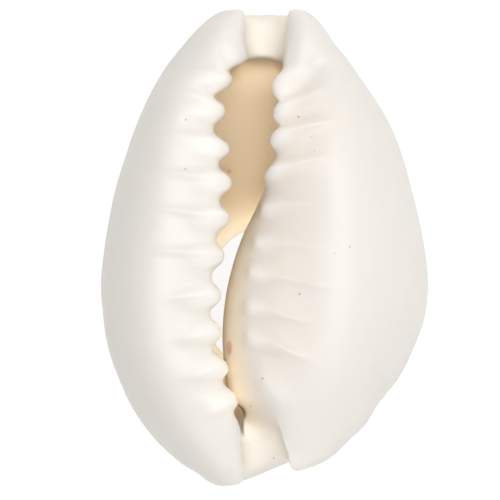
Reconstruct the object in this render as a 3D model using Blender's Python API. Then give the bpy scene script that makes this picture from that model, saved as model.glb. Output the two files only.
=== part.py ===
# Cowrie shell with its back ground off flat, lying on the cut with its aperture up.
# +Y is the front (narrow) end, +X the inner-lip side, +Z up. Lengths here are in millimetres.
# The wall is one closed skin: an outer sheet and an inner sheet, each lofted through cross-sections,
# that meet along both lips of the aperture and close round the two ends.

import math

import bmesh
import bpy
import numpy as np
from mathutils import Vector

MM = 0.001

# The whole shell
HALF_LENGTH = 11.0
FRONT_STATION = 10.15
BACK_STATION = -9.75
BACK_SKEW = 0.23
CREST_HEIGHT = 9.8
CREST_DROP = 1.0
MARGIN_HEIGHT = 6.4
MARGIN_RISE = 0.5
LEAST_SIDE = 0.8

# The back before it was ground off, and the slab of space that the grinding takes away
UNDERSIDE_DEPTH = -1.45
UNDERSIDE_AT_ENDS = 6.2
HALF_BACK = 10.6
LOWEST_BEHIND = 0.26
GRINDING_BLOCK = (30.0, 36.0, 8.0)

# The wall, the lips and the rolled inner side
BACK_WALL = 0.85
SIDE_WALL = 1.1
SHOULDER_DROP = 1.2
LEAST_CHAMBER = 1.2
LEFT_TOP = 0.47
RIGHT_TOP = 0.47
LIP_DROP = 0.85
LIP_THICKNESS = 2.6
FOLD_DROP = 0.25
FOLD_WIDTH = 0.22
ROLLED_FROM = 0.8

# The canals at the two ends: where they begin and are fully formed, and their beds
CANAL_DEPTH = 1.85
CANAL_WALL = 1.0
CANAL_SETBACK = 0.3
FRONT_CANAL = (8.0, 8.7)
FRONT_UNDERCUT = 0.55
UNDERCUT_SIDES = (-1.8, -1.1, 0.5, 1.1)
MOUTHS = ((-9.6, -9.0, -7.7, -7.0, 30), (7.4, 8.0, 8.7, 9.2, 8))
BACK_CANAL = (-7.3, -8.6)
BED_STATIONS = (-9.6, -8.5)
BED_SHARE = 0.2
FRONT_FOLD = (3.0, 7.0)
BACK_FOLD = (-4.8, -7.2)

# How far the rounded rims of the ends stand out
FRONT_LIPS = 0.88
BACK_LIPS = 0.86
FRONT_BED = 0.6
BACK_BED = 0.82
BACK_BED_FALL = 0.42
FULL_WALL = 1.5
RIM_CENTRE = 0.38

# Cells of each sheet before the faces are thinned out
CELLS_AROUND = 76
CELLS_ALONG = 116
CELLS_RIM = 4
LIP_CROWDING = 0.11
TRIANGLES = 9400

# Outlines along the shell, as (y, x) or (y, height) points
LEFT_MARGIN = ((-11.3, -0.6), (-11.0, -1.5), (-10.53, -2.9), (-10.16, -3.6), (-9.42, -4.53), (-8.3, -5.55),
               (-7.19, -6.25), (-6.07, -6.76), (-4.59, -7.27), (-3.1, -7.5), (-1.61, -7.6), (-0.13, -7.46),
               (1.36, -7.22), (2.85, -6.9), (4.33, -6.44), (5.45, -6.06), (6.57, -5.6), (7.68, -5.04),
               (8.8, -4.3), (9.54, -3.69), (10.28, -3.0), (11.03, -1.8))
RIGHT_MARGIN = ((-10.8, 1.0), (-10.4, 1.8), (-10.16, 2.2), (-9.42, 3.23), (-8.3, 4.58), (-7.19, 5.32),
                (-6.07, 6.2), (-4.59, 6.95), (-3.1, 7.46), (-1.61, 7.6), (-0.13, 7.46), (1.36, 7.18),
                (2.85, 6.81), (4.33, 6.39), (5.45, 5.97), (6.57, 5.37), (7.68, 4.62), (8.8, 3.83),
                (9.54, 3.23), (10.28, 2.72), (11.03, 1.9))
LEFT_LIP = ((-10.4, -0.82), (-9.6, -1.0), (-8.9, -1.08), (-8.1, -1.15), (-7.4, -1.49), (-5.94, -1.98),
            (-4.57, -2.39), (-3.0, -2.52), (-1.31, -2.43), (0.45, -2.22), (2.14, -2.06), (3.89, -2.11),
            (5.52, -2.34), (7.03, -2.33), (7.7, -2.1), (8.2, -1.72), (8.45, -1.2), (8.66, -0.86),
            (9.1, -0.82), (9.7, -0.95), (10.4, -0.85))
RIGHT_LIP = ((-10.2, 1.25), (-9.1, 0.9), (-8.4, 0.72), (-7.75, 0.56), (-7.2, 0.42), (-6.6, 0.22),
             (-6.0, -0.02), (-5.0, -0.28), (-3.5, -0.4), (-1.9, -0.34), (-0.4, -0.15), (1.1, 0.15),
             (2.6, 0.38), (4.2, 0.55), (5.5, 0.72), (7.0, 0.98), (7.9, 0.92), (8.5, 0.85), (9.1, 0.9),
             (9.7, 0.98), (10.6, 1.14))
COIL_SIDE = ((-8.5, -1.15), (-8.05, -0.98), (-7.75, -0.88), (-7.45, -1.02), (-7.1, -1.42), (-5.9, -1.82),
             (-4.86, -1.92), (-3.94, -1.95), (-2.87, -1.88), (-2.0, -1.76), (-1.1, -1.56), (-0.1, -1.26),
             (0.8, -0.91), (1.7, -0.46), (2.5, -0.1), (3.2, 0.2), (4.5, 1.0), (6.0, 2.0), (8.0, 2.8))
COIL_BOTTOM = ((-9.0, 4.2), (-7.5, 2.6), (-5.5, 1.6), (-2.5, 1.35), (0.5, 1.9), (3.0, 3.2), (5.0, 4.6),
               (7.0, 5.8), (9.0, 6.6))
COIL_HEIGHT = ((-9.0, 7.3), (-6.0, 7.2), (-3.0, 7.2), (0.5, 7.2), (3.0, 7.2), (6.0, 7.3), (9.0, 7.4))
GAP_END = ((-9.0, 1.2), (-7.5, 3.4), (-5.5, 5.0), (-2.5, 5.9), (0.5, 5.9), (3.0, 5.4), (5.5, 4.6),
           (7.5, 3.9), (9.0, 3.2))

# Teeth: (reach past the lip, width, rise on the base, lean, tip, points of the thin crest from the tip)
LEFT_TEETH = (
    (0.6, 0.62, 0.2, 0.35, (-1.5, 7.7), ((-1.9, 8.2), (-2.2, 9.1), (-2.44, 9.77))),
    (0.6, 0.6, 0.17, 0.1, (-1.75, 6.26), ((-2.2, 6.62), (-3.0, 7.05), (-3.93, 7.45))),
    (0.61, 0.6, 0.15, 0.05, (-1.62, 4.6), ((-2.2, 4.97), (-3.0, 5.1), (-4.3, 5.36))),
    (0.55, 0.62, 0.15, 0.05, (-1.53, 3.0), ((-2.1, 3.32), (-3.3, 3.36), (-4.58, 3.5), (-4.99, 4.2))),
    (0.49, 0.62, 0.15, 0.05, (-1.65, 1.34), ((-2.2, 1.6), (-3.23, 1.62), (-4.86, 1.85), (-5.32, 2.6))),
    (0.46, 0.62, 0.15, 0.0, (-1.87, -0.4), ((-2.5, -0.2), (-4.0, -0.15), (-5.2, -0.1), (-5.5, 0.7))),
    (0.5, 0.62, 0.15, -0.12, (-1.98, -2.12), ((-2.7, -2.05), (-3.9, -2.2), (-5.2, -2.55))),
    (0.5, 0.62, 0.15, -0.15, (-1.96, -3.75), ((-2.6, -3.78), (-3.46, -4.05), (-4.5, -4.35))),
    (0.46, 0.6, 0.14, -0.2, (-1.73, -5.35), ((-2.5, -5.4), (-3.1, -5.85), (-4.3, -6.0))),
    (0.4, 0.62, 0.16, -0.3, (-1.3, -6.82), ((-1.9, -7.1), (-2.4, -7.6), (-3.0, -8.1))),
)
RIGHT_TEETH = (
    (0.62, 0.7, 0.16, 0.9, (0.36, 7.66), ((0.75, 8.3), (0.98, 9.0), (1.3, 9.9))),
    (0.5, 0.56, 0.2, 0.45, (0.3, 6.18), ((0.95, 6.7), (1.65, 6.98), (2.58, 7.36), (3.2, 7.6))),
    (0.4, 0.54, 0.18, 0.4, (0.22, 4.85), ((0.95, 5.35), (1.65, 5.59), (2.95, 5.87), (3.65, 6.19))),
    (0.32, 0.54, 0.16, 0.25, (0.19, 3.42), ((0.95, 3.78), (1.65, 3.96), (3.28, 4.33))),
    (0.26, 0.54, 0.14, 0.05, (0.07, 1.83), ((0.81, 2.0), (1.7, 2.08), (2.8, 2.02))),
    (0.25, 0.56, 0.13, -0.05, (-0.28, 0.3), ((0.72, 0.27), (1.88, 0.15), (3.04, -0.2))),
    (0.25, 0.56, 0.13, -0.12, (-0.5, -1.08), ((0.86, -1.33), (2.21, -1.66), (3.74, -2.08))),
    (0.25, 0.56, 0.13, -0.15, (-0.54, -2.7), ((0.3, -2.83), (0.95, -3.1), (1.97, -3.42), (2.7, -3.45))),
    (0.22, 0.56, 0.14, -0.3, (-0.48, -4.12), ((0.3, -4.3), (1.42, -4.86), (2.58, -5.35))),
    (0.05, 0.9, 0.1, -1.3, (-0.05, -6.05), ((0.35, -6.6), (0.75, -7.2), (1.05, -8.0))),
)
# How low on the inner wall each lip's teeth run out, and how far from the lip line they fade
LEFT_TOOTH_FOOT = (5.9, 7.6)
LEFT_TOOTH_FADE = (0.25, 1.4)
RIGHT_TOOTH_FOOT = (7.7, 8.8)
RIGHT_TOOTH_FADE = (0.05, 0.8)
BASE_FADE = (0.4, 2.1)
TEETH_END = 10.2

# Broad hollows of the base: depth, half width, points along the middle
HOLLOWS = (
    (0.05, 0.9, ((-3.2, 6.3), (-3.6, 3.0), (-3.9, -0.5), (-3.8, -4.5))),
    (0.06, 1.1, ((1.7, 5.6), (1.6, 1.5), (1.6, -3.5))),
    (0.26, 0.72, ((1.5, 7.4), (2.3, 8.4))),
    (0.14, 0.38, ((-1.55, 8.25), (-1.95, 8.9))),
)
HOLLOW_FOOT = (7.4, 8.6)


def curve_through(points):
    # A smooth curve through (y, value) points, as a function of y
    at = np.array([p[0] for p in points], float)
    value = np.array([p[1] for p in points], float)
    chord = np.diff(value) / np.diff(at)
    slope = np.empty_like(value)
    slope[1:-1] = (chord[:-1] * np.diff(at)[1:] + chord[1:] * np.diff(at)[:-1]) / (at[2:] - at[:-2])
    slope[0], slope[-1] = chord[0], chord[-1]

    def read(y):
        y = np.clip(y, at[0], at[-1])
        i = np.clip(np.searchsorted(at, y) - 1, 0, len(at) - 2)
        step = at[i + 1] - at[i]
        u = (y - at[i]) / step
        near = (1 + 2 * u) * (1 - u) ** 2 * value[i] + u * (1 - u) ** 2 * step * slope[i]
        far = u * u * (3 - 2 * u) * value[i + 1] + u * u * (u - 1) * step * slope[i + 1]
        return near + far

    return read


left_margin, right_margin = curve_through(LEFT_MARGIN), curve_through(RIGHT_MARGIN)
left_lip, right_lip = curve_through(LEFT_LIP), curve_through(RIGHT_LIP)
coil_side, coil_bottom = curve_through(COIL_SIDE), curve_through(COIL_BOTTOM)
coil_height, gap_end = curve_through(COIL_HEIGHT), curve_through(GAP_END)


def ease(low, high, value):
    u = np.clip((value - low) / (high - low), 0.0, 1.0)
    return u * u * (3 - 2 * u)


def quarter(start, end, first="x", power=2.0, steps=40):
    # A quarter of a rounded oval from start to end, leaving along x or along z
    u = np.linspace(0, math.pi / 2, steps)[:, None]
    fast, slow = np.sin(u) ** (2 / power), 1 - np.cos(u) ** (2 / power)
    share = np.hstack((fast, slow) if first == "x" else (slow, fast))
    return np.array(start) + share * (np.array(end) - np.array(start))


def chain(*arcs):
    return np.vstack([arcs[0]] + [arc[1:] for arc in arcs[1:]])


def lengths(path):
    return np.concatenate(([0], np.cumsum(np.linalg.norm(np.diff(path, axis=0), axis=1))))


def spaced(path, shares):
    # Points of a path at these shares of its length
    along = lengths(path) / lengths(path)[-1]
    return np.column_stack([np.interp(shares, along, path[:, i]) for i in (0, 1)])


def underside(y):
    # Height of the uncut back under a station, lowest behind the middle
    along = y / HALF_BACK
    along = np.clip(along + LOWEST_BEHIND * (1 - along * along), -1, 1)
    return UNDERSIDE_AT_ENDS - (UNDERSIDE_AT_ENDS - UNDERSIDE_DEPTH) * (1 - along * along) ** 0.62


def section(y, shares):
    # Outer and inner contour of the station at y, both from the left lip round to the right lip
    skew = BACK_SKEW * ease(-6.5, -10.0, y)
    left, right = left_margin(y), right_margin(y)
    for _ in range(8):
        left, right = left_margin(y + skew * left), right_margin(y + skew * right)
    crest = CREST_HEIGHT - CREST_DROP * abs(y / HALF_LENGTH) ** 2.6
    bottom = underside(y)
    margin = max(MARGIN_HEIGHT + MARGIN_RISE * (y / HALF_LENGTH) ** 2, bottom + LEAST_SIDE)
    canal_here = max(ease(*FRONT_CANAL, y), ease(*BACK_CANAL, y))
    lip_l, lip_r = left_lip(y), right_lip(y)
    edge_l = np.array((lip_l, crest - LIP_DROP))
    top_l = (left + LEFT_TOP * (lip_l - left), crest)
    top_r = (right - RIGHT_TOP * (right - lip_r), crest)
    middle = 0.5 * (left + right)

    # Sizes of the open body: its floor, its walls, and the coil that hangs into it from the right
    roof = crest - LIP_THICKNESS
    floor = bottom + BACK_WALL
    wall_l, wall_r = left + SIDE_WALL, min(right - SIDE_WALL, gap_end(y))
    wall_z = margin - SHOULDER_DROP
    coil_x = max(coil_side(y), wall_l + LEAST_CHAMBER)
    coil_x += ease(*FRONT_CANAL, y) * (lip_r + CANAL_SETBACK - coil_x)
    turn = min(0.5 * (coil_bottom(y) - floor), FOLD_WIDTH * (wall_r - coil_x))
    turn_z = max(wall_z, floor + turn)
    coil_z = max(coil_height(y), floor + 1.5)
    fold = 1 - max(ease(*FRONT_FOLD, y), ease(*BACK_FOLD, y))
    shallow, deep = min(turn_z, coil_z) - FOLD_DROP, max(coil_bottom(y), floor + turn)
    low = (0.5 * (coil_x + wall_r) - turn, shallow + fold * min(deep - shallow, 0))

    # The right lip rolls over into the coil's side, or where the coil stands back, into an undercut
    rolled = ease(0.0, ROLLED_FROM, lip_r - coil_x)
    brink = (min(coil_x, lip_r), (1 - rolled) * (crest - LIP_DROP) + rolled * coil_z)
    roll = quarter(top_r, brink, "x", 2.3, 80)
    on_base = roll[:, 0] > lip_r
    edge_r = np.array((lip_r, np.interp(-lip_r, -roll[:, 0], roll[:, 1])))
    outer = chain(quarter(edge_l, top_l, "z", 2.8), quarter(top_l, (left, margin), "x", 2.05),
                  quarter((left, margin), (middle, bottom), "z"),
                  quarter((middle, bottom), (right, margin), "x"),
                  quarter((right, margin), top_r, "z", 2.25), np.vstack((roll[on_base], edge_r)))
    side = np.vstack((roll[~on_base][::-1], edge_r))
    under_lip = (0.45 * wall_l + 0.55 * lip_l - 0.3, roof)
    undercut = (0.5 * (coil_x + brink[0]), 0.5 * (coil_z + brink[1]))
    body = chain(quarter(edge_l, under_lip, "z", 1.8), quarter(under_lip, (wall_l, wall_z), "x"),
                 quarter((wall_l, wall_z), (middle, floor), "z"),
                 quarter((middle, floor), (wall_r, turn_z), "x"),
                 quarter((wall_r, turn_z), (wall_r - turn, turn_z + 0.8 * turn), "z"),
                 quarter((wall_r - turn, turn_z + 0.8 * turn), (wall_r - 2 * turn, turn_z), "x"),
                 quarter((wall_r - 2 * turn, turn_z), low, "z"), quarter(low, (coil_x, coil_z), "x"),
                 quarter((coil_x, coil_z), undercut, "z"), quarter(undercut, brink, "x"), side)

    # The canal at each end: a plain round-bottomed trough
    bed = (0.55 * lip_l + 0.45 * lip_r, max(crest - CANAL_DEPTH, bottom + CANAL_WALL))
    canal = chain(quarter(edge_l, bed, "z", 2.8), quarter(bed, edge_r, "x", 2.4))

    # Behind, the coil's side runs on as the bed, and the body closes to a slit under the left lip
    on_bed = shares
    if BED_STATIONS[0] < y < 0:
        held = 1 - lengths(side)[-1] / lengths(body)[-1]
        slid = np.where(shares < held, BED_SHARE * shares / held,
                        BED_SHARE + (1 - BED_SHARE) * (shares - held) / (1 - held))
        on_bed = shares + ease(*BED_STATIONS, y) * (slid - shares)
    inner = (1 - canal_here) * spaced(body, shares) + canal_here * spaced(canal, on_bed)
    return spaced(outer, shares), inner, skew


def end_reach(shares, front):
    # How far each point of an end's rim stands out past the last station: lips far, canal bed less
    lips = FRONT_LIPS if front else BACK_LIPS
    bed = np.full_like(shares, FRONT_BED) if front else BACK_BED - BACK_BED_FALL * ease(0.35, 0.65, shares)
    at_bed = 1 - ease(0.14, 0.3, np.abs(shares - 0.5))
    return lips + (bed - lips) * at_bed


def with_even_mouths(inner, stations):
    # Where the body narrows into the canals, each station is drawn towards its neighbours' mean
    along = np.linspace(0, 1, inner.shape[1])
    off_lips = ease(0.0, 0.06, along) * ease(1.0, 0.94, along)
    for back, full_back, full_front, front, passes in MOUTHS:
        near = ease(back, full_back, stations) * ease(front, full_front, stations)
        share = near[1:-1, None, None] * off_lips[None, :, None]
        for _ in range(passes):
            inner[1:-1] += share * (0.5 * (inner[:-2] + inner[2:]) - inner[1:-1])
    return inner


def lofted_sheets():
    # The two sheets as grids of points, with the rows that close the ends
    even = np.linspace(0, 1, CELLS_AROUND)
    shares = np.clip(even - LIP_CROWDING * np.sin(2 * math.pi * even), 0, 1)
    turn = np.linspace(-1, 1, CELLS_ALONG)
    middle, half = 0.5 * (FRONT_STATION + BACK_STATION), 0.5 * (FRONT_STATION - BACK_STATION)
    outer, inner = [], []
    stations = middle + half * (0.8 * turn + 0.2 * np.sin(0.5 * math.pi * turn))
    for y in stations:
        out, ins, skew = section(y, shares)
        outer.append([(x, y + skew * x, z) for x, z in out])
        far_left, left, right, far_right = UNDERCUT_SIDES
        between = ease(far_left, left, ins[:, 0]) * ease(far_right, right, ins[:, 0])
        under = FRONT_UNDERCUT * between * ease(7.0, 8.2, y) * ease(7.5, 6.4, ins[:, 1])
        inner.append([(x, y + skew * x + push, z) for (x, z), push in zip(ins, under)])
    outer, inner = np.array(outer), with_even_mouths(np.array(inner), stations)
    angles = np.linspace(0, math.pi / 2, CELLS_RIM + 1)[1:]
    for front in (False, True):
        last_out, last_in = (outer[-1], inner[-1]) if front else (outer[0], inner[0])
        centre = RIM_CENTRE * last_out + (1 - RIM_CENTRE) * last_in
        wall = np.clip(np.linalg.norm(last_out - last_in, axis=1) / FULL_WALL, 0, 1)
        reach = end_reach(shares, front) * np.sqrt(wall * (2 - wall)) * (1 if front else -1)
        rows_out, rows_in = [], []
        for angle in angles:
            forward = np.zeros_like(centre)
            forward[:, 1] = reach * math.sin(angle)
            rows_out.append(centre + (last_out - centre) * math.sqrt(1 - math.sin(angle)) + forward)
            rows_in.append(centre + (last_in - centre) * math.cos(angle) + forward)
        if front:
            outer, inner = np.vstack([outer, rows_out]), np.vstack([inner, rows_in])
        else:
            outer, inner = np.vstack([rows_out[::-1], outer]), np.vstack([rows_in[::-1], inner])
    return outer, inner


def along_line(x, y, line):
    # Distance from a line of points, how far along it the nearest point lies, and its length
    nearest, along, run = np.full(len(x), 1e9), np.zeros(len(x)), 0.0
    for a, b in zip(line[:-1], line[1:]):
        step = (b[0] - a[0], b[1] - a[1])
        size = math.hypot(*step)
        u = np.clip(((x - a[0]) * step[0] + (y - a[1]) * step[1]) / size ** 2, 0, 1)
        gap = np.hypot(x - a[0] - u * step[0], y - a[1] - u * step[1])
        along = np.where(gap < nearest, run + u * size, along)
        nearest = np.minimum(nearest, gap)
        run += size
    return nearest, along, run


def tooth_field(points, teeth, lip_line, side, foot, fade):
    # How far the teeth of one lip stand out at each point: across the lip edge, and up on the base
    x, y, z = points.T
    across, up = np.zeros(len(x)), np.zeros(len(x))
    on_base = side * (x - lip_line(y))
    from_lip = np.abs(on_base)
    kept = 1 - ease(0.1, 0.1 + fade[1], -on_base)
    for reach, width, rise, lean, tip, crest_line in teeth:
        off_line = np.abs(y - tip[1] - lean * np.maximum(side * (x - tip[0]), 0)) / math.hypot(1, lean)
        lobe = np.exp(-(off_line / (0.8 * width)) ** 3)
        across = np.maximum(across, reach * lobe * (1 - ease(*fade, from_lip)))
        nearest, along, run = along_line(x, y, (tip,) + crest_line)
        crest = np.exp(-(nearest / (0.4 * width)) ** 2) * (1 - ease(0.5 * run, run, along))
        up = np.maximum(up, rise * (0.6 * lobe * (1 - ease(*BASE_FADE, from_lip)) + 0.4 * crest))
    here = ease(*foot, z) * (np.abs(y) < TEETH_END)
    return across * here, up * here * kept


def with_teeth(sheet):
    # A sheet with its teeth standing out and its hollows sunk; each lip's teeth keep to their own half
    points = sheet.reshape(-1, 3).copy()
    moved = points.copy()
    column = np.arange(len(points)) % sheet.shape[1]
    lips = ((LEFT_TEETH, left_lip, -1, LEFT_TOOTH_FOOT, LEFT_TOOTH_FADE),
            (RIGHT_TEETH, right_lip, 1, RIGHT_TOOTH_FOOT, RIGHT_TOOTH_FADE))
    for teeth, lip_line, side, foot, fade in lips:
        own = (column < sheet.shape[1] // 2) == (side < 0)
        across, up = tooth_field(points[own], teeth, lip_line, side, foot, fade)
        moved[own, 0] -= side * across
        moved[own, 2] += up
    for depth, width, line in HOLLOWS:
        nearest = along_line(points[:, 0], points[:, 1], line)[0]
        moved[:, 2] -= depth * np.exp(-(nearest / width) ** 2) * ease(*HOLLOW_FOOT, points[:, 2])
    return moved.reshape(sheet.shape)


def sheet_mesh(points, faces_out):
    # One sheet: a plain grid moved to its points
    rows, columns = points.shape[:2]
    bm = bmesh.new()
    bmesh.ops.create_grid(bm, x_segments=columns - 1, y_segments=rows - 1, size=1.0)
    bm.verts.ensure_lookup_table()
    for index, vert in enumerate(bm.verts):
        row, column = divmod(index, columns)
        vert.co = Vector(points[row, column]) * MM
    if not faces_out:
        bmesh.ops.reverse_faces(bm, faces=bm.faces)
    mesh = bpy.data.meshes.new("sheet")
    bm.to_mesh(mesh)
    bm.free()
    return mesh


def shell_mesh():
    # Both sheets welded into one closed skin
    outer, inner = lofted_sheets()
    bm = bmesh.new()
    for points, faces_out in ((outer, True), (inner, False)):
        mesh = sheet_mesh(with_teeth(points), faces_out)
        bm.from_mesh(mesh)
        bpy.data.meshes.remove(mesh)
    seam = [v for v in bm.verts if v.is_boundary]
    bmesh.ops.remove_doubles(bm, verts=seam, dist=0.002 * MM)
    bmesh.ops.recalc_face_normals(bm, faces=bm.faces)
    mesh = bpy.data.meshes.new("cowrie_shell")
    bm.to_mesh(mesh)
    bm.free()
    return mesh


def shell_material():
    material = bpy.data.materials.new("white_shell")
    material.use_nodes = True
    surface = material.node_tree.nodes["Principled BSDF"]
    surface.inputs["Base Color"].default_value = (0.87, 0.84, 0.79, 1)
    surface.inputs["Roughness"].default_value = 0.4
    surface.inputs["Metallic"].default_value = 0.0
    return material


def clear_scene():
    for obj in list(bpy.data.objects):
        bpy.data.objects.remove(obj, do_unlink=True)


def collection(name):
    made = bpy.data.collections.new(name)
    bpy.context.scene.collection.children.link(made)
    return made


def grinding_block(helpers):
    # The slab of space that the flat grinding of the back takes away
    bm = bmesh.new()
    bmesh.ops.create_cube(bm, size=1.0)
    bmesh.ops.scale(bm, verts=bm.verts, vec=[side * MM for side in GRINDING_BLOCK])
    bmesh.ops.translate(bm, verts=bm.verts, vec=(0, 0, -0.5 * GRINDING_BLOCK[2] * MM))
    mesh = bpy.data.meshes.new("grinding_block")
    bm.to_mesh(mesh)
    bm.free()
    block = bpy.data.objects.new("grinding_block", mesh)
    helpers.objects.link(block)
    block.hide_render = True
    block.display_type = "WIRE"
    return block


def main():
    clear_scene()
    parts, helpers = collection("cowrie shell"), collection("cutters")
    mesh = shell_mesh()
    mesh.materials.append(shell_material())
    mesh.shade_smooth()
    shell = bpy.data.objects.new("cowrie_shell", mesh)
    parts.objects.link(shell)
    mesh.calc_loop_triangles()
    thin = shell.modifiers.new("Fewer faces", "DECIMATE")
    thin.ratio = TRIANGLES / len(mesh.loop_triangles)
    cut = shell.modifiers.new("Ground back", "BOOLEAN")
    cut.operation = "DIFFERENCE"
    cut.solver = "EXACT"
    cut.object = grinding_block(helpers)


main()
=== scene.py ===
import math

import bmesh
import bpy
import numpy as np
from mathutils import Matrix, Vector


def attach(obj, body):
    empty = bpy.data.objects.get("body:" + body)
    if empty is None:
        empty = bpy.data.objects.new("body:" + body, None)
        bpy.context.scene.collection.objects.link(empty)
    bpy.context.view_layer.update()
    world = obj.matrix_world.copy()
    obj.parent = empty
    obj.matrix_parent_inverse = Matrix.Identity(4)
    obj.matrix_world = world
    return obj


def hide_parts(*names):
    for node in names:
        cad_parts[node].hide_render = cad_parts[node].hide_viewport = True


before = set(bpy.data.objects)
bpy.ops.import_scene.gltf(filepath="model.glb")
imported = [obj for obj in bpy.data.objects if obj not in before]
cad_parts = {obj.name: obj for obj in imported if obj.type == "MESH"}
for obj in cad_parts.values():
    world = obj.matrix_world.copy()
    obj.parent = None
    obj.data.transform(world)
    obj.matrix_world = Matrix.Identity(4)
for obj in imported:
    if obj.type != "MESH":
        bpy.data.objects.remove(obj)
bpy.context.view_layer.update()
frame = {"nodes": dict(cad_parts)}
print("frame loaded:", ", ".join(frame["nodes"]))

# Lengths are in millimetres and become metres as each vertex is placed.
# +Y is the narrow front end, +X the inner lip's side, +Z up out of the aperture.
mm = 0.001

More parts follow.
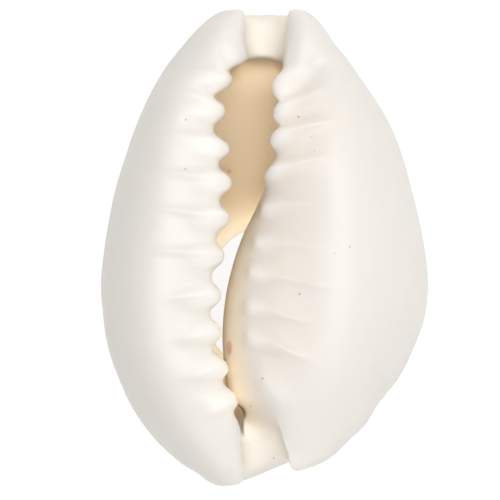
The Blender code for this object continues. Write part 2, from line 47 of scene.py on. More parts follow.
shell = {
    # rows of the mesh, and how far they draw together at the lips and at the ends
    "rowsAround": 168,
    "rowsAlong": 236,
    "capRows": 7,
    "gatherAtLips": 0.11,
    "gatherAtEnds": 0.2,
    # the first and last station, and how far the lips and the canal beds stand out past them
    "frontStation": 10.15,
    "backStation": -9.75,
    "frontReach": (0.88, 0.6),
    "backReach": (0.86, 0.82),
    "backBedFall": 0.42,
    # where the rim's middle lies between the two sheets, and the wall from which it is fully round
    "rimShare": 0.62,
    "rimWall": 1.5,
    "halfLength": 11.0,
    # the stations at the back end lean over
    "backSkew": 0.23,
    "skewBetween": (-6.5, -10.0),
    # heights of the base, the widest line and the underside, and how they bend along the shell
    "crestHeight": 9.8,
    "crestDrop": 1.0,
    "crestBend": 2.6,
    "crestShare": 0.47,  # how far from the margin to the lip the base is highest
    "marginHeight": 6.4,
    "marginRise": 0.5,
    "marginOverBack": 0.8,
    "undersideDepth": -1.45,
    "undersideAtEnds": 6.2,
    "undersideBend": 0.62,
    "undersideBehind": 0.26,
    "halfBack": 10.6,
    # the wall, and the body inside it
    "backWall": 0.85,
    "sideWall": 1.1,
    "wallUnderMargin": 1.2,
    "lipDrop": 0.85,
    "lipThickness": 2.6,
    "lipBack": 0.3,
    "lipRoll": 0.8,
    # how round each quarter is: 2 is an oval, more is squarer
    "roundLip": 2.8,
    "roundLeft": 2.05,
    "roundRight": 2.25,
    "roundRoll": 2.3,
    "roundUnderLip": 1.8,
    "roundBed": 2.4,
    # the coil: clear of the left wall, over the floor, its turn, and where it folds over
    "coilOffWall": 1.2,
    "coilOverFloor": 1.5,
    "coilPastLip": 0.3,
    "turnShare": 0.22,
    "turnRise": 0.8,
    "foldDrop": 0.25,
    "frontFold": (3.0, 7.0),
    "backFold": (-4.8, -7.2),
    # the canals, and the hollow under the front one's edge: from left to right, along and down
    "canalDepth": 1.85,
    "canalFloor": 1.0,
    "frontCanal": (8.0, 8.7),
    "backCanal": (-7.3, -8.6),
    "frontUndercut": 0.6,
    "undercutSides": (-1.8, -1.1, 0.5, 1.1),
    "undercutAlong": (7.0, 8.2),
    "undercutBelow": (7.5, 6.4),
    # behind, the coil's side slides over into the canal's bed, and the slit beside it sinks
    "slideBetween": (-9.6, -8.5),
    "slideShare": 0.2,
    "slitSink": 0.8,
    # where the body narrows into the canals: from, fully, fully, to, and how often it is evened
    "mouths": ((-9.0, -8.6, -7.9, -7.5, 6), (7.4, 8.0, 8.7, 9.2, 8)),
    # the soft edge between base and sides: distance from the lip, height, and how often it is evened
    "shoulderFromLip": (0.5, 1.5),
    "shoulderAbove": (6.6, 7.8),
    "shoulderPasses": 20,
    # outlines along the shell, as (y, x) or (y, height) points
    "leftMargin": ((-11.3, -0.6), (-11.0, -1.5), (-10.53, -2.9), (-10.16, -3.6), (-9.42, -4.53),
                   (-8.3, -5.55), (-7.19, -6.25), (-6.07, -6.76), (-4.59, -7.27), (-3.1, -7.5),
                   (-1.61, -7.6), (-0.13, -7.46), (1.36, -7.22), (2.85, -6.9), (4.33, -6.44),
                   (5.45, -6.06), (6.57, -5.6), (7.68, -5.04), (8.8, -4.3), (9.54, -3.69),
                   (10.28, -3.0), (11.03, -1.8)),
    "rightMargin": ((-10.8, 1.0), (-10.4, 1.8), (-10.16, 2.2), (-9.42, 3.23), (-8.3, 4.58), (-7.19, 5.32),
                    (-6.07, 6.2), (-4.59, 6.95), (-3.1, 7.46), (-1.61, 7.6), (-0.13, 7.46), (1.36, 7.18),
                    (2.85, 6.81), (4.33, 6.39), (5.45, 5.97), (6.57, 5.37), (7.68, 4.62), (8.8, 3.83),
                    (9.54, 3.23), (10.28, 2.72), (11.03, 1.9)),
    "leftLip": ((-10.4, -0.82), (-9.6, -1.0), (-8.9, -1.08), (-8.1, -1.15), (-7.4, -1.49), (-5.94, -1.98),
                (-4.57, -2.39), (-3.0, -2.52), (-1.31, -2.43), (0.45, -2.22), (2.14, -2.06), (3.89, -2.11),
                (5.52, -2.34), (7.03, -2.33), (7.7, -2.1), (8.2, -1.72), (8.45, -1.2), (8.66, -0.86),
                (9.1, -0.82), (9.7, -0.95), (10.4, -0.85)),
    "rightLip": ((-10.2, 1.25), (-9.1, 0.9), (-8.4, 0.72), (-7.75, 0.56), (-7.2, 0.42), (-6.6, 0.22),
                 (-6.0, -0.02), (-5.0, -0.28), (-3.5, -0.4), (-1.9, -0.34), (-0.4, -0.15), (1.1, 0.15),
                 (2.6, 0.38), (4.2, 0.55), (5.5, 0.72), (7.0, 0.98), (7.9, 0.92), (8.5, 0.85),
                 (9.1, 0.9), (9.7, 0.98), (10.6, 1.14)),
    "coilSide": ((-8.5, -1.15), (-8.05, -0.98), (-7.75, -0.88), (-7.45, -1.02), (-7.1, -1.42), (-5.9, -1.82),
                 (-4.86, -1.92), (-3.94, -1.95), (-2.87, -1.88), (-2.0, -1.76), (-1.1, -1.56), (-0.1, -1.26),
                 (0.8, -0.91), (1.7, -0.46), (2.5, -0.1), (3.2, 0.2), (4.5, 1.0), (6.0, 2.0), (8.0, 2.8)),
    "coilBottom": ((-9.0, 4.2), (-7.5, 2.6), (-5.5, 1.6), (-2.5, 1.35), (0.5, 1.9), (3.0, 3.2), (5.0, 4.6),
                   (7.0, 5.8), (9.0, 6.6)),
    "coilHeight": ((-9.0, 7.3), (-6.0, 7.2), (-3.0, 7.2), (0.5, 7.2), (3.0, 7.2), (6.0, 7.3), (9.0, 7.4)),
    "gapEnd": ((-9.0, 1.2), (-7.5, 3.4), (-5.5, 5.0), (-2.5, 5.9), (0.5, 5.9), (3.0, 5.4), (5.5, 4.6),
               (7.5, 3.9), (9.0, 3.2)),
    # teeth: reach past the lip, width, rise, lean, (x, y) of the tip, then the points of its thin crest
    "leftTeeth": (
        (0.60, 0.62, 0.20, 0.35, (-1.50, 7.45), ((-1.9, 8.1), (-2.2, 9.1), (-2.44, 9.77))),
        (0.60, 0.60, 0.17, 0.10, (-1.75, 6.26), ((-2.2, 6.62), (-3.0, 7.05), (-3.93, 7.45))),
        (0.61, 0.60, 0.15, 0.05, (-1.62, 4.60), ((-2.2, 4.97), (-3.0, 5.10), (-4.3, 5.36))),
        (0.55, 0.62, 0.15, 0.05, (-1.53, 3.00), ((-2.1, 3.32), (-3.3, 3.36), (-4.58, 3.50), (-4.99, 4.2))),
        (0.49, 0.62, 0.15, 0.05, (-1.65, 1.34), ((-2.2, 1.6), (-3.23, 1.62), (-4.86, 1.85), (-5.32, 2.6))),
        (0.46, 0.62, 0.15, 0.0, (-1.87, -0.40), ((-2.5, -0.2), (-4.0, -0.15), (-5.2, -0.10), (-5.5, 0.7))),
        (0.50, 0.62, 0.15, -0.12, (-1.98, -2.12), ((-2.7, -2.05), (-3.9, -2.2), (-5.2, -2.55))),
        (0.50, 0.62, 0.15, -0.15, (-1.96, -3.75), ((-2.6, -3.78), (-3.46, -4.05), (-4.5, -4.35))),
        (0.46, 0.60, 0.14, -0.2, (-1.73, -5.35), ((-2.5, -5.4), (-3.1, -5.85), (-4.3, -6.0))),
        (0.40, 0.62, 0.16, -0.3, (-1.30, -6.82), ((-1.9, -7.1), (-2.4, -7.6), (-3.0, -8.1)))),
    "rightTeeth": (
        (0.64, 0.66, 0.16, 0.9, (0.36, 6.86), ((0.75, 8.0), (0.98, 9.0), (1.3, 9.9))),
        (0.50, 0.56, 0.20, 0.45, (0.30, 6.05), ((0.95, 6.60), (1.65, 6.98), (2.58, 7.36), (3.2, 7.6))),
        (0.40, 0.54, 0.18, 0.40, (0.22, 4.85), ((0.95, 5.35), (1.65, 5.59), (2.95, 5.87), (3.65, 6.19))),
        (0.32, 0.54, 0.16, 0.25, (0.19, 3.42), ((0.95, 3.78), (1.65, 3.96), (3.28, 4.33))),
        (0.26, 0.54, 0.14, 0.05, (0.07, 1.83), ((0.81, 2.0), (1.7, 2.08), (2.8, 2.02))),
        (0.25, 0.56, 0.13, -0.05, (-0.28, 0.30), ((0.72, 0.27), (1.88, 0.15), (3.04, -0.2))),
        (0.25, 0.56, 0.13, -0.12, (-0.50, -1.08), ((0.86, -1.33), (2.21, -1.66), (3.74, -2.08))),
        (0.25, 0.56, 0.13, -0.15, (-0.54, -2.70), ((0.3, -2.83), (0.95, -3.1), (1.97, -3.42), (2.7, -3.45))),
        (0.22, 0.56, 0.14, -0.3, (-0.48, -4.12), ((0.3, -4.3), (1.42, -4.86), (2.58, -5.35))),
        (0.05, 0.90, 0.10, -1.3, (-0.05, -6.05), ((0.35, -6.6), (0.75, -7.2), (1.05, -8.0)))),
    # how low on the inner wall each lip's teeth run out, and how far from the lip line
    "leftToothFoot": (5.9, 7.6),
    "leftToothSpread": (0.25, 1.4),
    "rightToothFoot": (7.7, 8.8),
    "rightToothSpread": (0.05, 0.8),
    "teethEnd": 10.2,
    # a tooth's round lobe and thin crest: width, sharpness, share of its rise, and where the lobe fades
    "lobe": (0.8, 3, 0.6, (0.4, 2.1)),
    "crest": (0.32, 1.7, 0.5),
    # the creamy band of the inner lip's base
    "creamBand": ((1.5, 5.6), (0.9, 4.0), (0.6, 0.0), (0.7, -4.2)),
    "creamWidth": 2.2,
    "creamAbove": (6.5, 8.5),
    # painted shade: the darker tan inside sets in below this height, or this far under the inner lip, and
    # less in the canals
    "shadeBelow": (9.1, 7.3),
    "shadeUnderLip": 1.1,
    "shadeUnderLipShare": 0.7,
    "canalPaler": 0.78,
    # points closer than this are merged, along the lips and round the cut
    "weld": 0.002,
    "rimWeld": 0.04,
    # broad hollows of the base: how high they set in, then depth, half width, points along the middle
    "hollowsAbove": (7.4, 8.6),
    "hollows": (
        (0.05, 0.9, ((-3.2, 6.3), (-3.6, 3.0), (-3.9, -0.5), (-3.8, -4.5))),
        (0.06, 1.1, ((1.7, 5.6), (1.6, 1.5), (1.6, -3.5))),
        (0.26, 0.72, ((1.5, 7.4), (2.3, 8.4))),
        (0.14, 0.38, ((-1.55, 8.25), (-1.95, 8.9)))),
}


def curveThrough(points):
    # a smooth curve through (y, value) points, as a function of y
    at = np.array([p[0] for p in points], float)
    value = np.array([p[1] for p in points], float)
    chord = np.diff(value) / np.diff(at)
    slope = np.empty_like(value)
    slope[1:-1] = (chord[:-1] * np.diff(at)[1:] + chord[1:] * np.diff(at)[:-1]) / (at[2:] - at[:-2])
    slope[0], slope[-1] = chord[0], chord[-1]

    def read(y):
        y = np.clip(y, at[0], at[-1])
        i = np.clip(np.searchsorted(at, y) - 1, 0, len(at) - 2)
        step = at[i + 1] - at[i]
        u = (y - at[i]) / step
        near = (1 + 2 * u) * (1 - u) ** 2 * value[i] + u * (1 - u) ** 2 * step * slope[i]
        far = u * u * (3 - 2 * u) * value[i + 1] + u * u * (u - 1) * step * slope[i + 1]
        return near + far

    return read


outline = {name: curveThrough(shell[name]) for name in ("leftMargin", "rightMargin", "leftLip", "rightLip",
                                                        "coilSide", "coilBottom", "coilHeight", "gapEnd")}


def ease(low, high, value):
    u = np.clip((value - low) / (high - low), 0.0, 1.0)
    return u * u * (3 - 2 * u)


def quarter(start, end, first="x", power=2.0, steps=40):
    # a quarter of a rounded oval from start to end, leaving along x or along z
    u = np.linspace(0, math.pi / 2, steps)[:, None]
    fast, slow = np.sin(u) ** (2 / power), 1 - np.cos(u) ** (2 / power)
    share = np.hstack((fast, slow) if first == "x" else (slow, fast))
    return np.array(start) + share * (np.array(end) - np.array(start))


def chain(*arcs):
    return np.vstack([arcs[0]] + [arc[1:] for arc in arcs[1:]])


def lengths(path):
    return np.concatenate(([0], np.cumsum(np.linalg.norm(np.diff(path, axis=0), axis=1))))


def spaced(path, shares):
    along = lengths(path) / lengths(path)[-1]
    return np.column_stack([np.interp(shares, along, path[:, i]) for i in (0, 1)])


def underside(y):
    # height of the back before it was ground off, lowest behind the middle
    along = y / shell["halfBack"]
    along = np.clip(along + shell["undersideBehind"] * (1 - along * along), -1, 1)
    deep, atEnds = shell["undersideDepth"], shell["undersideAtEnds"]
    return atEnds - (atEnds - deep) * (1 - along ** 2) ** shell["undersideBend"]


def section(y, shares):
    # outer and inner contour of the station at y, both from the left lip round to the right lip
    skew = shell["backSkew"] * ease(*shell["skewBetween"], y)
    left, right = outline["leftMargin"](y), outline["rightMargin"](y)
    for _ in range(8):  # the leaning station meets each margin a little further along
        left, right = outline["leftMargin"](y + skew * left), outline["rightMargin"](y + skew * right)
    toEnd = y / shell["halfLength"]
    crest = shell["crestHeight"] - shell["crestDrop"] * abs(toEnd) ** shell["crestBend"]
    bottom = underside(y)
    margin = max(shell["marginHeight"] + shell["marginRise"] * toEnd ** 2, bottom + shell["marginOverBack"])
    canalHere = max(ease(*shell["frontCanal"], y), ease(*shell["backCanal"], y))
    lipL, lipR = outline["leftLip"](y), outline["rightLip"](y)
    edgeL = np.array((lipL, crest - shell["lipDrop"]))
    topL = (left + shell["crestShare"] * (lipL - left), crest)
    topR = (right - shell["crestShare"] * (right - lipR), crest)
    middle = 0.5 * (left + right)

    # sizes of the open body: its floor, its walls, and the coil that hangs into it from the right
    roof = crest - shell["lipThickness"]
    floor = bottom + shell["backWall"]
    wallL, wallR = left + shell["sideWall"], min(right - shell["sideWall"], outline["gapEnd"](y))
    wallZ = margin - shell["wallUnderMargin"]
    coilX = max(outline["coilSide"](y), wallL + shell["coilOffWall"])
    coilX += ease(*shell["frontCanal"], y) * (lipR + shell["coilPastLip"] - coilX)
    turn = min(0.5 * (outline["coilBottom"](y) - floor), shell["turnShare"] * (wallR - coilX))
    turnZ = max(wallZ, floor + turn)
    overTurn = (wallR - turn, turnZ + shell["turnRise"] * turn)
    coilZ = max(outline["coilHeight"](y), floor + shell["coilOverFloor"])
    fold = 1 - max(ease(*shell["frontFold"], y), ease(*shell["backFold"], y))
    shallow, deep = min(turnZ, coilZ) - shell["foldDrop"], max(outline["coilBottom"](y), floor + turn)
    low = (0.5 * (coilX + wallR) - turn, shallow + fold * min(deep - shallow, 0))

    # the right lip rolls over into the coil's side, or where the coil stands back, into an undercut
    rolled = ease(0.0, shell["lipRoll"], lipR - coilX)
    brink = (min(coilX, lipR), (1 - rolled) * (crest - shell["lipDrop"]) + rolled * coilZ)
    roll = quarter(topR, brink, "x", shell["roundRoll"], 80)
    onBase = roll[:, 0] > lipR
    edgeR = np.array((lipR, np.interp(-lipR, -roll[:, 0], roll[:, 1])))
    outer = chain(quarter(edgeL, topL, "z", shell["roundLip"]),
                  quarter(topL, (left, margin), "x", shell["roundLeft"]),
                  quarter((left, margin), (middle, bottom), "z"),
                  quarter((middle, bottom), (right, margin), "x"),
                  quarter((right, margin), topR, "z", shell["roundRight"]),
                  np.vstack((roll[onBase], edgeR)))
    side = np.vstack((roll[~onBase][::-1], edgeR))
    underLip = (0.45 * wallL + 0.55 * lipL - shell["lipBack"], roof)
    undercut = (0.5 * (coilX + brink[0]), 0.5 * (coilZ + brink[1]))
    body = chain(quarter(edgeL, underLip, "z", shell["roundUnderLip"]),
                 quarter(underLip, (wallL, wallZ), "x"),
                 quarter((wallL, wallZ), (middle, floor), "z"),
                 quarter((middle, floor), (wallR, turnZ), "x"),
                 quarter((wallR, turnZ), overTurn, "z"),
                 quarter(overTurn, (wallR - 2 * turn, turnZ), "x"),
                 quarter((wallR - 2 * turn, turnZ), low, "z"), quarter(low, (coilX, coilZ), "x"),
                 quarter((coilX, coilZ), undercut, "z"), quarter(undercut, brink, "x"), side)

    # the canal at each end: a plain round-bottomed trough
    bed = (0.55 * lipL + 0.45 * lipR, max(crest - shell["canalDepth"], bottom + shell["canalFloor"]))
    canal = chain(quarter(edgeL, bed, "z", shell["roundLip"]), quarter(bed, edgeR, "x", shell["roundBed"]))

    # behind, the coil's side runs on as the bed, and the body closes to a slit under the left lip
    onBed, sunk = shares, 0.0
    if shell["slideBetween"][0] < y < 0:
        held = 1 - lengths(side)[-1] / lengths(body)[-1]
        first = shell["slideShare"]
        slid = np.where(shares < held, first * shares / held,
                        first + (1 - first) * (shares - held) / (1 - held))
        onBed = shares + ease(*shell["slideBetween"], y) * (slid - shares)
        sunk = canalHere * (1 - canalHere) * ease(0.04, 0.2, shares) * ease(held, held - 0.06, shares)
    inner = (1 - canalHere) * spaced(body, shares) + canalHere * spaced(canal, onBed)
    inner[:, 1] -= 4 * shell["slitSink"] * sunk
    return spaced(outer, shares), inner, skew, canalHere


def endReach(shares, front):
    # how far each point of an end's rim stands out past the last station: lips far, canal bed less
    lips, bed = shell["frontReach"] if front else shell["backReach"]
    if not front:  # the back canal's bed stands out less on the right
        bed = bed - shell["backBedFall"] * ease(0.35, 0.65, shares)
    atBed = 1 - ease(0.14, 0.3, np.abs(shares - 0.5))
    return lips + (bed - lips) * atBed


def withSoftShoulders(outer):
    # the base runs over into the sides without an edge
    x, y, z = outer[..., 0], outer[..., 1], outer[..., 2]
    fromLip = np.maximum(outline["leftLip"](y) - x, x - outline["rightLip"](y))
    share = (ease(*shell["shoulderFromLip"], fromLip) * ease(*shell["shoulderAbove"], z))[:, 1:-1, None]
    for _ in range(shell["shoulderPasses"]):
        outer[:, 1:-1] += share * (0.5 * (outer[:, :-2] + outer[:, 2:]) - outer[:, 1:-1])
    return outer


def withEvenMouths(inner, stations):
    # where the body narrows into the canals, each station is drawn towards its neighbours' mean
    along = np.linspace(0, 1, inner.shape[1])
    offLips = ease(0.0, 0.06, along) * ease(1.0, 0.94, along)
    for back, fullBack, fullFront, front, passes in shell["mouths"]:
        near = ease(back, fullBack, stations) * ease(front, fullFront, stations)
        share = near[1:-1, None, None] * offLips[None, :, None]
        for _ in range(passes):
            inner[1:-1] += share * (0.5 * (inner[:-2] + inner[2:]) - inner[1:-1])
    return inner


def loftedSheets():
    # the two sheets as grids of points, with the rows that close the ends
    even = np.linspace(0, 1, shell["rowsAround"])
    shares = np.clip(even - shell["gatherAtLips"] * np.sin(2 * math.pi * even), 0, 1)
    turn = np.linspace(-1, 1, shell["rowsAlong"])
    middle = 0.5 * (shell["frontStation"] + shell["backStation"])
    half = 0.5 * (shell["frontStation"] - shell["backStation"])
    gather = shell["gatherAtEnds"]
    stations = middle + half * ((1 - gather) * turn + gather * np.sin(0.5 * math.pi * turn))
    outer, inner, canals = [], [], []
    for y in stations:
        out, ins, skew, canalHere = section(y, shares)
        outer.append([(x, y + skew * x, z) for x, z in out])
        farLeft, left, right, farRight = shell["undercutSides"]
        between = ease(farLeft, left, ins[:, 0]) * ease(farRight, right, ins[:, 0])
        under = shell["frontUndercut"] * between * ease(*shell["undercutAlong"], y)
        under *= ease(*shell["undercutBelow"], ins[:, 1])
        inner.append([(x, y + skew * x + push, z) for (x, z), push in zip(ins, under)])
        canals.append(canalHere)
    outer, inner = withSoftShoulders(np.array(outer)), withEvenMouths(np.array(inner), stations)
    angles = np.linspace(0, math.pi / 2, shell["capRows"] + 1)[1:]
    for front in (False, True):
        lastOut, lastIn = (outer[-1], inner[-1]) if front else (outer[0], inner[0])
        centre = (1 - shell["rimShare"]) * lastOut + shell["rimShare"] * lastIn
        wall = np.clip(np.linalg.norm(lastOut - lastIn, axis=1) / shell["rimWall"], 0, 1)
        reach = endReach(shares, front) * np.sqrt(wall * (2 - wall)) * (1 if front else -1)
        rowsOut, rowsIn = [], []
        for angle in angles:
            forward = np.zeros_like(centre)
            forward[:, 1] = reach * math.sin(angle)
            rowsOut.append(centre + (lastOut - centre) * math.sqrt(1 - math.sin(angle)) + forward)
            rowsIn.append(centre + (lastIn - centre) * math.cos(angle) + forward)
        if front:
            outer, inner = np.vstack([outer, rowsOut]), np.vstack([inner, rowsIn])
        else:
            outer, inner = np.vstack([rowsOut[::-1], outer]), np.vstack([rowsIn[::-1], inner])
    canals = np.array([canals[0]] * shell["capRows"] + canals + [canals[-1]] * shell["capRows"])
    return outer, inner, canals


def alongLine(x, y, line):
    # distance from a line of points, how far along it the nearest point lies, and its length
    nearest, along, run = np.full(len(x), 1e9), np.zeros(len(x)), 0.0
    for a, b in zip(line[:-1], line[1:]):
        step = (b[0] - a[0], b[1] - a[1])
        size = math.hypot(*step)
        u = np.clip(((x - a[0]) * step[0] + (y - a[1]) * step[1]) / size ** 2, 0, 1)
        gap = np.hypot(x - a[0] - u * step[0], y - a[1] - u * step[1])
        along = np.where(gap < nearest, run + u * size, along)
        nearest = np.minimum(nearest, gap)
        run += size
    return nearest, along, run


def toothField(points, teeth, lipLine, side, foot, spread):
    # how far the teeth of one lip stand out at each point: across the lip edge, and up on the base
    x, y, z = points.T
    lobeWidth, lobeSharpness, lobeShare, lobeFades = shell["lobe"]
    crestWidth, crestSharpness, crestShare = shell["crest"]
    across, up = np.zeros(len(x)), np.zeros(len(x))
    onBase = side * (x - lipLine(y))
    fromLip = np.abs(onBase)
    kept = 1 - ease(0.1, 0.1 + spread[1], -onBase)
    for reach, width, rise, lean, tip, crestLine in teeth:
        offLine = np.abs(y - tip[1] - lean * np.maximum(side * (x - tip[0]), 0)) / math.hypot(1, lean)
        lobe = np.exp(-(offLine / (lobeWidth * width)) ** lobeSharpness)
        across = np.maximum(across, reach * lobe * (1 - ease(*spread, fromLip)))
        nearest, along, run = alongLine(x, y, (tip,) + crestLine)
        crest = np.exp(-(nearest / (crestWidth * width)) ** crestSharpness)
        crest *= 1 - ease(0.5 * run, run, along)
        lobe = lobe * (1 - ease(*lobeFades, fromLip))
        up = np.maximum(up, rise * (lobeShare * lobe + crestShare * crest))
    here = ease(*foot, z) * (np.abs(y) < shell["teethEnd"])
    return across * here, up * here * kept


def withTeeth(sheet):
    points = sheet.reshape(-1, 3).copy()
    moved = points.copy()
    height = np.zeros(len(points))
    column = np.arange(len(points)) % sheet.shape[1]
    for lip, side in (("left", -1), ("right", 1)):
        own = (column < sheet.shape[1] // 2) == (side < 0)
        across, up = toothField(points[own], shell[lip + "Teeth"], outline[lip + "Lip"], side,
                                shell[lip + "ToothFoot"], shell[lip + "ToothSpread"])
        moved[own, 0] -= side * across
        moved[own, 2] += up
        # how far a tooth stands out also sets the painted highlight on it
        height[own] = across + up
    for depth, width, line in shell["hollows"]:
        nearest = alongLine(points[:, 0], points[:, 1], line)[0]
        moved[:, 2] -= depth * np.exp(-(nearest / width) ** 2) * ease(*shell["hollowsAbove"], points[:, 2])
    return moved.reshape(sheet.shape), height.reshape(sheet.shape[:2])


def warmth(sheet):
    # the inner lip's base is creamier than the rest
    nearest = alongLine(sheet[..., 0].ravel(), sheet[..., 1].ravel(), shell["creamBand"])[0]
    band = np.exp(-(nearest.reshape(sheet.shape[:2]) / shell["creamWidth"]) ** 2)
    return band * ease(*shell["creamAbove"], sheet[..., 2])


def addSheet(bm, points, values, layers, facesOut):
    # one sheet: a plain grid moved to its points, carrying its values along
    rows, columns = points.shape[:2]
    made = bmesh.ops.create_grid(bm, x_segments=columns - 1, y_segments=rows - 1, size=1.0)
    faces = set()
    for index, vert in enumerate(made["verts"]):
        row, column = divmod(index, columns)
        vert.co = Vector(points[row, column]) * mm
        for layer, value in zip(layers, values):
            vert[layer] = float(value[row, column])
        faces.update(vert.link_faces)
    if not facesOut:
        bmesh.ops.reverse_faces(bm, faces=list(faces))


def makeShell():
    outer, inner, canals = loftedSheets()
    outer, outerHighlightMask = withTeeth(outer)
    inner, innerHighlightMask = withTeeth(inner)
    # painted shade as a darker tan, by how far inside a point lies: nothing outside, all of it down in the
    # body, much of it under the inner lip, little in the canals
    depthOut = np.zeros(outer.shape[:2])
    underLip = ease(0.0, shell["shadeUnderLip"], outline["rightLip"](inner[..., 1]) - inner[..., 0])
    shadeIn = np.maximum(ease(*shell["shadeBelow"], inner[..., 2]), shell["shadeUnderLipShare"] * underLip)
    shadeIn *= 1 - shell["canalPaler"] * canals[:, None]
    bm = bmesh.new()
    layers = [bm.verts.layers.float.new(name) for name in ("insideShade", "toothHighlightMask", "warm", "outside")]
    outside = layers[3]
    addSheet(bm, outer, (depthOut, outerHighlightMask, warmth(outer), depthOut + 1), layers, True)
    addSheet(bm, inner, (shadeIn, innerHighlightMask, warmth(inner), depthOut), layers, False)
    seam = [v for v in bm.verts if v.is_boundary]
    bmesh.ops.remove_doubles(bm, verts=seam, dist=shell["weld"] * mm)
    bmesh.ops.recalc_face_normals(bm, faces=bm.faces)
    print("shell: lofted", len(bm.faces), "faces")

    # the back is ground off: cut, and the ring between the two loops closed flat
    whole = bm.verts[:] + bm.edges[:] + bm.faces[:]
    cut = bmesh.ops.bisect_plane(bm, geom=whole, dist=0.5 * shell["weld"] * mm,
                                 plane_co=(0, 0, 0), plane_no=(0, 0, -1), clear_outer=True)
    rim = [v for v in cut["geom_cut"] if isinstance(v, bmesh.types.BMVert)]
    bmesh.ops.remove_doubles(bm, verts=rim, dist=shell["rimWeld"] * mm)
    rim = [e for e in bm.edges if e.is_boundary]
    print("shell: the cut leaves", len(rim), "rim edges")
    ring = bmesh.ops.bridge_loops(bm, edges=rim)["faces"]
    bmesh.ops.recalc_face_normals(bm, faces=bm.faces)
    acrossRing = bm.loops.layers.float.new("acrossRing")
    outerRim = {v for e in rim for v in e.verts if v[outside] > 0.5}
    ringFaces = set(ring)
    for face in bm.faces:
        face.smooth = True
    for face in ring:
        face.material_index = 1
        for edge in face.edges:  # sharp where the ring meets the shell's own faces
            edge.smooth = edge.is_boundary or not set(edge.link_faces) - ringFaces
        for corner in face.loops:
            corner[acrossRing] = 1.0 if corner.vert in outerRim else 0.0
    print("shell: back ground off,", len(ring), "faces on the ring")
    mesh = bpy.data.meshes.new("cowrieShell")
    bm.to_mesh(mesh)
    bm.free()
    piece = bpy.data.objects.new("cowrieShell", mesh)
    bpy.context.scene.collection.objects.link(piece)
    return piece


finish = {
    "outside": (0.885, 0.865, 0.82),
    "outsideClouds": (0.875, 0.85, 0.80),
    "cloudScale": 260.0,
    "outsideWarm": (0.868, 0.805, 0.735),
    # painted shade: a darker tan for the body's inside and under the inner lip
    "insideShade": (0.92, 0.795, 0.605),
    # painted highlight: teeth and their crests are lighter the further they stand out
    "toothHighlight": (0.96, 0.935, 0.885),
    "highlightBetween": (0.05, 0.4),
    "roughness": 0.48,
    "coat": 0.1,
    "coatRoughness": 0.2,
    "subsurface": 0.8,
    "subsurfaceRadius": (1.0, 0.84, 0.68),
    "subsurfaceDepth": 1.6,
    # marks: colour, strength, then centre and radii of each; one radius makes a round mark of this height
    "markHeight": 0.9,
    "pores": ((0.20, 0.15, 0.11), 0.5, (
        ((-3.62, 5.91, 9.7), 0.05), ((-3.65, 3.64, 9.7), 0.045), ((1.56, 6.05, 9.6), 0.065),
        ((2.16, 5.12, 9.7), 0.03), ((2.28, 4.48, 9.7), 0.03), ((3.9, 0.06, 9.8), 0.045),
        ((1.6, -2.1, 9.6), 0.06), ((3.22, -0.23, 9.8), 0.03), ((-0.1, -5.99, 9.0), 0.055),
        ((-0.63, -7.27, 8.0), 0.05), ((0.43, -9.72, 7.5), 0.045))),
    # brown spots: a small one at the left lip's inner edge, and a tall narrow one deep under the left lip
    "brownSpots": ((0.62, 0.33, 0.11), 0.6, (
        ((-1.63, -4.6, 8.2), (0.14, 0.36, 1.6)), ((-1.65, 3.64, 4.0), (0.18, 0.18, 3.6)))),
    # painted shade: the pocket is a near-black spot in the hole at the back end of the slit under the left
    # lip
    "pocketShade": ((0.05, 0.014, 0.005), 1.0, (((-1.2, -7.62, 7.3), (0.36, 0.42, 1.6)),)),
}


def nodeMaker(material):
    tree = material.node_tree

    def add(kind, **settings):
        node = tree.nodes.new(kind)
        for key, value in settings.items():
            if key == "inputs":
                for socket, content in value.items():
                    if isinstance(content, bpy.types.NodeSocket):
                        tree.links.new(content, node.inputs[socket])
                    else:
                        node.inputs[socket].default_value = content
            else:
                setattr(node, key, value)
        return node

    return add


def mixColours(add, share, first, second):
    # the two colours, or sockets, mixed by share
    node = add("ShaderNodeMix", data_type="RGBA")
    for socket, content in ((0, share), (6, first), (7, second)):
        if isinstance(content, bpy.types.NodeSocket):
            node.id_data.links.new(content, node.inputs[socket])
        else:
            node.inputs[socket].default_value = content if socket == 0 else (*content, 1.0)
    return node.outputs[2]


def markShare(add, place, centre, radii):
    # 1 inside a small rounded spot, 0 outside it, with a soft edge round its radii
    offset = add("ShaderNodeVectorMath", operation="SUBTRACT").outputs[0]
    offset.node.inputs[1].default_value = Vector(centre) * mm
    offset.node.id_data.links.new(place, offset.node.inputs[0])
    scaled = add("ShaderNodeVectorMath", operation="DIVIDE", inputs={0: offset, 1: Vector(radii) * mm})
    length = add("ShaderNodeVectorMath", operation="LENGTH", inputs={0: scaled.outputs[0]}).outputs["Value"]
    return add("ShaderNodeMapRange", interpolation_type="SMOOTHSTEP",
               inputs={"Value": length, "From Min": 1.25, "From Max": 0.55}).outputs["Result"]


def withMarks(add, place, colour, marks):
    markColour, strength, spots = marks
    share = None
    for centre, radii in spots:
        radii = radii if isinstance(radii, tuple) else (radii, radii, finish["markHeight"])
        spot = markShare(add, place, centre, radii)
        if share is None:
            share = spot
        else:
            share = add("ShaderNodeMath", operation="MAXIMUM", inputs={0: share, 1: spot}).outputs[0]
    share = add("ShaderNodeMath", operation="MULTIPLY", inputs={0: share, 1: strength}).outputs[0]
    return mixColours(add, share, colour, markColour)


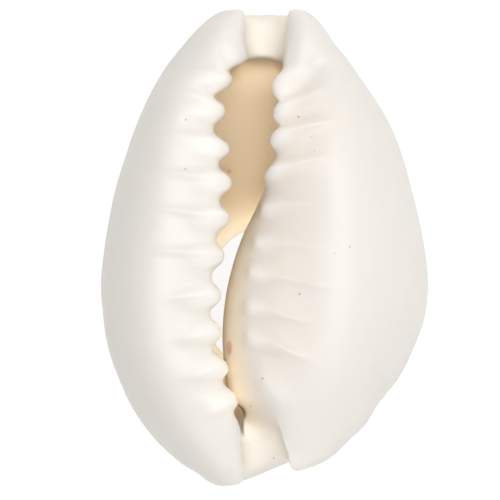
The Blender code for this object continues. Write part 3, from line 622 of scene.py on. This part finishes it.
def shellMaterial():
    material = bpy.data.materials.new("whiteShell")
    material.use_nodes = True
    add = nodeMaker(material)
    surface = material.node_tree.nodes["Principled BSDF"]
    surface.subsurface_method = "BURLEY"
    place = add("ShaderNodeTexCoord").outputs["Object"]
    insideShade = add("ShaderNodeAttribute", attribute_name="insideShade").outputs["Fac"]
    toothHighlightMask = add("ShaderNodeAttribute", attribute_name="toothHighlightMask").outputs["Fac"]
    warm = add("ShaderNodeAttribute", attribute_name="warm").outputs["Fac"]
    clouds = add("ShaderNodeTexNoise", inputs={"Vector": place, "Scale": finish["cloudScale"], "Detail": 3.0})
    colour = mixColours(add, clouds.outputs["Fac"], finish["outside"], finish["outsideClouds"])
    colour = mixColours(add, warm, colour, finish["outsideWarm"])
    # painted highlight: the teeth lighten with how far they stand out
    low, high = finish["highlightBetween"]
    tip = add("ShaderNodeMapRange", inputs={"Value": toothHighlightMask, "From Min": low, "From Max": high})
    colour = mixColours(add, tip.outputs["Result"], colour, finish["toothHighlight"])
    # painted shade: the darker tan down in the body and under the inner lip
    colour = mixColours(add, insideShade, colour, finish["insideShade"])
    for marks in ("brownSpots", "pocketShade", "pores"):
        colour = withMarks(add, place, colour, finish[marks])
    material.node_tree.links.new(colour, surface.inputs["Base Color"])
    surface.inputs["Roughness"].default_value = finish["roughness"]
    surface.inputs["Coat Weight"].default_value = finish["coat"]
    surface.inputs["Coat Roughness"].default_value = finish["coatRoughness"]
    surface.inputs["Subsurface Weight"].default_value = finish["subsurface"]
    surface.inputs["Subsurface Radius"].default_value = finish["subsurfaceRadius"]
    surface.inputs["Subsurface Scale"].default_value = finish["subsurfaceDepth"] * mm
    return material


ring = {
    "chalk": (0.85, 0.83, 0.79),
    # the darker layer: its place across the ring, half width, strength, and how it wanders
    "layer": (0.62, 0.60, 0.62),
    "layerAt": 0.70,
    "layerWidth": 0.12,
    "layerStrength": 0.6,
    "wander": 0.3,
    "wanderScale": 420.0,
    "roughness": 0.72,
    # grinding scratches: strength, depth, scale, direction, and how much finer they are across it
    "scratches": 0.12,
    "scratchDepth": 0.02,
    "scratchScale": 900.0,
    "scratchTurn": 0.5,
    "scratchAcross": 14,
    "subsurface": 0.4,
    "subsurfaceDepth": 0.5,
}


def ringMaterial():
    # the ground face: matt, with the edges of the shell's layers and fine grinding scratches
    material = bpy.data.materials.new("groundShell")
    material.use_nodes = True
    add = nodeMaker(material)
    links = material.node_tree.links
    surface = material.node_tree.nodes["Principled BSDF"]
    place = add("ShaderNodeTexCoord").outputs["Object"]
    across = add("ShaderNodeAttribute", attribute_name="acrossRing").outputs["Fac"]
    noise = add("ShaderNodeTexNoise", inputs={"Vector": place, "Scale": ring["wanderScale"], "Detail": 2.0})
    moved = add("ShaderNodeMath", operation="MULTIPLY_ADD",
                inputs={0: noise.outputs["Fac"], 1: ring["wander"], 2: across})
    apart = add("ShaderNodeMath", operation="SUBTRACT", inputs={0: moved.outputs[0], 1: ring["layerAt"]})
    apart = add("ShaderNodeMath", operation="ABSOLUTE", inputs={0: apart.outputs[0]})
    layer = add("ShaderNodeMapRange", interpolation_type="SMOOTHSTEP",
                inputs={"Value": apart.outputs[0], "From Min": ring["layerWidth"], "From Max": 0.0,
                        "To Max": ring["layerStrength"]})
    colour = mixColours(add, layer.outputs["Result"], ring["chalk"], ring["layer"])
    links.new(colour, surface.inputs["Base Color"])
    stretched = add("ShaderNodeMapping", inputs={"Vector": place, "Rotation": (0, 0, ring["scratchTurn"]),
                                                 "Scale": (1, ring["scratchAcross"], 1)})
    scratch = add("ShaderNodeTexNoise",
                  inputs={"Vector": stretched.outputs[0], "Scale": ring["scratchScale"], "Detail": 4.0})
    bump = add("ShaderNodeBump", inputs={"Height": scratch.outputs["Fac"], "Strength": ring["scratches"],
                                         "Distance": ring["scratchDepth"] * mm})
    links.new(bump.outputs["Normal"], surface.inputs["Normal"])
    surface.inputs["Roughness"].default_value = ring["roughness"]
    surface.inputs["Subsurface Weight"].default_value = ring["subsurface"]
    surface.inputs["Subsurface Scale"].default_value = ring["subsurfaceDepth"] * mm
    return material


studio = {
    # the camera looks straight down, and its frame is this wide at the height that it looks at
    "cameraHeight": 300.0,
    "lookAt": (-0.674, -0.079, 6.4),
    "frameWidth": 23.23,
    "sensorWidth": 36.0,
    "clipStart": 10.0,
    # the floor lies just under the ring, so that the two don't flicker, and glows to a plain white
    "floorSize": 900.0,
    "floorGap": 0.03,
    "floorColour": (0.25, 0.25, 0.25),
    "floorRoughness": 0.9,
    "floorSpecular": 0.1,
    "floorGlow": 0.86,
    # the room's light: on the left, on the right, and what the two ends add
    "worldColour": (1.0, 0.952, 0.91),
    "worldStrength": (0.11, 0.385),
    "worldEnds": 0.25,
    # name: place, aim, size, watts
    "lamps": {"top": ((10, 10, 430), (0, 0, 5), 150, 0.80),
              "key": ((190, 120, 360), (0, 0, 5), 200, 0.29),
              "fill": ((-110, 10, 380), (0, 0, 5), 150, 0.14)},
}


def makeFloor():
    bm = bmesh.new()
    bmesh.ops.create_grid(bm, x_segments=1, y_segments=1, size=0.5 * studio["floorSize"] * mm)
    bmesh.ops.translate(bm, verts=bm.verts, vec=(0, 0, -studio["floorGap"] * mm))
    mesh = bpy.data.meshes.new("floor")
    bm.to_mesh(mesh)
    bm.free()
    floor = bpy.data.objects.new("floor", mesh)
    bpy.context.scene.collection.objects.link(floor)
    material = bpy.data.materials.new("palePaper")
    material.use_nodes = True
    surface = material.node_tree.nodes["Principled BSDF"]
    surface.inputs["Base Color"].default_value = (*studio["floorColour"], 1.0)
    surface.inputs["Roughness"].default_value = studio["floorRoughness"]
    surface.inputs["Specular IOR Level"].default_value = studio["floorSpecular"]
    surface.inputs["Emission Color"].default_value = (1.0, 1.0, 1.0, 1.0)
    surface.inputs["Emission Strength"].default_value = studio["floorGlow"]
    mesh.materials.append(material)


def makeStudio():
    scene = bpy.context.scene
    scene.view_settings.view_transform = "Standard"
    world = bpy.data.worlds.new("studio")
    world.use_nodes = True
    background = world.node_tree.nodes["Background"]
    background.inputs["Color"].default_value = (*studio["worldColour"], 1.0)
    add = nodeMaker(world)
    facing = add("ShaderNodeSeparateXYZ", inputs={0: add("ShaderNodeTexCoord").outputs["Generated"]}).outputs
    low, high = studio["worldStrength"]  # darker on the left, as the soft boxes stand on the right
    sides = add("ShaderNodeMapRange",
                inputs={"Value": facing["X"], "From Min": -1.0, "To Min": low, "To Max": high})
    ends = add("ShaderNodeMath", operation="MULTIPLY", inputs={0: facing["Y"], 1: facing["Y"]})
    strength = add("ShaderNodeMath", operation="MULTIPLY_ADD",
                   inputs={0: ends.outputs[0], 1: studio["worldEnds"], 2: sides.outputs["Result"]})
    world.node_tree.links.new(strength.outputs[0], background.inputs["Strength"])
    scene.world = world
    for name, (place, aim, size, watts) in studio["lamps"].items():
        data = bpy.data.lights.new(name, "AREA")
        data.shape = "DISK"
        data.size = size * mm
        data.energy = watts
        lamp = bpy.data.objects.new(name, data)
        scene.collection.objects.link(lamp)
        lamp.location = Vector(place) * mm
        lamp.rotation_euler = (Vector(aim) - Vector(place)).to_track_quat("-Z", "Y").to_euler()
    camData = bpy.data.cameras.new("camera")
    x, y, z = studio["lookAt"]
    camData.sensor_width = studio["sensorWidth"]
    camData.lens = studio["sensorWidth"] * (studio["cameraHeight"] - z) / studio["frameWidth"]
    camData.clip_start = studio["clipStart"] * mm
    camera = bpy.data.objects.new("camera", camData)
    scene.collection.objects.link(camera)
    camera.location = Vector((x, y, studio["cameraHeight"])) * mm
    scene.camera = camera


makeStudio()
makeFloor()
print("studio: camera, lamps and floor placed")
piece = makeShell()
piece.data.materials.append(shellMaterial())
piece.data.materials.append(ringMaterial())
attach(piece, "root")
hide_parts("cowrie_shell")
print("shell: finished")
